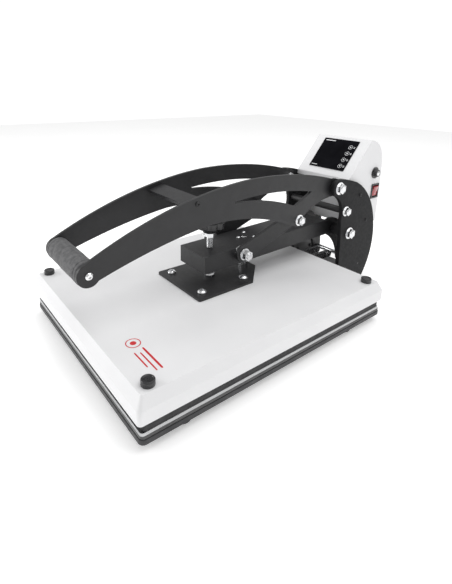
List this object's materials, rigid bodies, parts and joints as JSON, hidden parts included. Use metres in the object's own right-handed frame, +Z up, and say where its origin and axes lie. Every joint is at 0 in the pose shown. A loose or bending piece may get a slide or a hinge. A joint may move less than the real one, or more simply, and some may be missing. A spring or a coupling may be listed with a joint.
{
  "type": "heat press",
  "caption": "Clamshell heat press with a flat heated platen, over-centre toggle handle with foam grip, pressure knob and a tilted control box.",
  "frame": {"origin": "centre of the bounding box on the bench plane, under the rubber feet", "axes": "+Y from the grip to the control box at the rear, +X to the user's right when facing the press from the grip, +Z up"},
  "size_m": [0.41, 0.7181, 0.318],
  "materials": {
    "powder_black": "matte black powder coat",
    "cover_white": "satin white powder coat",
    "base_black": "satin black paint on the base and lower platen",
    "bare_aluminium": "machined bare aluminium",
    "cast_dark": "dark coated aluminium casting",
    "silicone": "smooth grey-black silicone sheet",
    "rubber_black": "black rubber",
    "foam": "closed-cell foam",
    "zinc_steel": "bright zinc plated",
    "plain_steel": "turned steel",
    "spring_steel": "oiled spring steel",
    "black_plastic": "moulded black plastic",
    "red_plastic": "translucent red plastic",
    "display_glass": "black glossy panel",
    "circuit_green": "circuit board laminate",
    "blanket_wool": "glass-fibre blanket",
    "heater_metal": "sheathed heating rod"
  },
  "bodies": {
    "base": {"base_frame": "base_black", "rubber_feet": "rubber_black", "lower_platen": "base_black", "silicone_pad": "silicone", "frame_plate_right": "powder_black", "frame_plate_left": "powder_black", "frame_screws": "powder_black", "tie_rod_sleeve": "powder_black", "tie_rod_bolts": "zinc_steel", "arm_shaft": "zinc_steel", "pivot_collars": "powder_black", "handle_pivot_bolts": "zinc_steel", "spring_post": "powder_black", "lift_spring_right": "spring_steel", "lift_spring_left": "spring_steel", "control_housing": "cover_white", "control_box_lid": "cover_white", "display_panel": "display_glass", "display_board": "circuit_green", "switch_frame": "black_plastic", "fuse_holder": "black_plastic", "power_inlet": "black_plastic", "control_board": "circuit_green", "solid_state_relay": "black_plastic", "control_cable_gland": "black_plastic"},
    "switch": {"switch_rocker": "red_plastic"},
    "arm": {"heater_arm": "powder_black", "spring_pin": "zinc_steel", "pressure_block": "plain_steel", "web_screws": "zinc_steel", "link_pin_bolt": "zinc_steel", "link_pin_spacers": "zinc_steel"},
    "toggle_links": {"toggle_link_right": "powder_black", "toggle_link_left": "powder_black", "link_bushes": "plain_steel"},
    "handle": {"handle_plate_right": "powder_black", "handle_plate_left": "powder_black", "handle_brace": "powder_black", "brace_screws": "powder_black", "foam_grip": "foam", "grip_core": "plain_steel", "grip_bolts": "zinc_steel", "crank_bolts": "zinc_steel", "crank_sleeves": "zinc_steel"},
    "head": {"top_cover": "cover_white", "corner_caps": "black_plastic", "heating_plate": "bare_aluminium", "heater_casting": "cast_dark", "heater_element": "heater_metal", "insulation_blanket": "blanket_wool", "heater_posts": "plain_steel", "temperature_probe": "bare_aluminium", "bracket_plate": "powder_black", "bracket_bolts": "zinc_steel", "guide_pin": "zinc_steel", "screw_seat": "zinc_steel", "cover_cable_gland": "black_plastic"},
    "knob": {"pressure_screw": "zinc_steel", "lock_nut": "zinc_steel", "pressure_knob": "black_plastic"}
  },
  "joints": [
    {"name": "arm_lift", "type": "hinge", "parent": "base", "child": "arm", "pos_m": [0, 0.234, 0.124], "axis": [-1, 0, 0], "range_deg": [0, 23.3], "deforming": ["lift_spring_right", "lift_spring_left"]},
    {"name": "handle_swing", "type": "hinge", "parent": "base", "child": "handle", "pos_m": [0, 0.182, 0.23], "axis": [-1, 0, 0], "range_deg": [0, 70]},
    {"name": "toggle_swing", "type": "hinge", "parent": "arm", "child": "toggle_links", "pos_m": [0, -0.047, 0.135], "axis": [-1, 0, 0], "range_deg": [-32.1, 0]},
    {"name": "pressure_lift", "type": "slide", "parent": "arm", "child": "head", "axis": [0, 0, 1], "range_m": [0, 0.008]},
    {"name": "pressure_turn", "type": "hinge", "parent": "head", "child": "knob", "pos_m": [0, -0.087, 0.15], "axis": [0, 0, -1], "range_deg": [0, 1440]},
    {"name": "rocker_tilt", "type": "hinge", "parent": "base", "child": "switch", "pos_m": [0.064, 0.327, 0.203], "axis": [0, -1, 0], "range_deg": [0, 14]}
  ],
  "couplings": [
    {"joint": "handle_swing", "follows": "arm_lift", "ratio": 3.004},
    {"joint": "toggle_swing", "follows": "arm_lift", "ratio": -1.377},
    {"joint": "pressure_turn", "follows": "pressure_lift", "rad_per_m": 3141.5}
  ]
}
